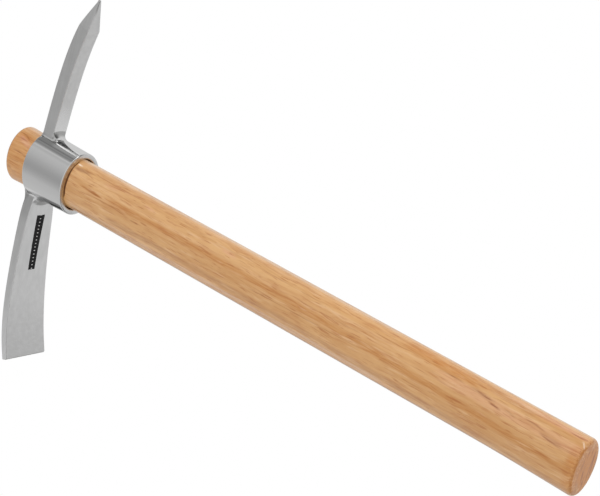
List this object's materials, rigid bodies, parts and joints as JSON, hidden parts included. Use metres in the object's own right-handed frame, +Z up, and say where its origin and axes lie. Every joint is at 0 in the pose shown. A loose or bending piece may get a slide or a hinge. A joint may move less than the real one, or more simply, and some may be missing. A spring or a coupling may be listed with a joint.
{
  "type": "pick mattock",
  "caption": "One-hand pick mattock: a forged steel head with a square pick and a flared mattock blade, on a tapered oval wooden handle.",
  "frame": {"origin": "Centre of the bounding box at its bottom, on the level that the tool stands on: the mattock blade's cutting edge and the underside of the butt both touch z = 0.", "axes": "+X runs from the head towards the butt, level, 15.57 degrees off the handle's own axis, which falls towards the butt. +Y runs across the tool, away from the picture's viewer. +Z is up, and the pick points up."},
  "size_m": [0.4542, 0.035, 0.2463],
  "materials": {
    "forged_steel": "satin",
    "varnished_ash": "gloss"
  },
  "bodies": {
    "root": {"pick_mattock_head": "forged_steel", "wooden_handle": "varnished_ash"}
  },
  "joints": []
}
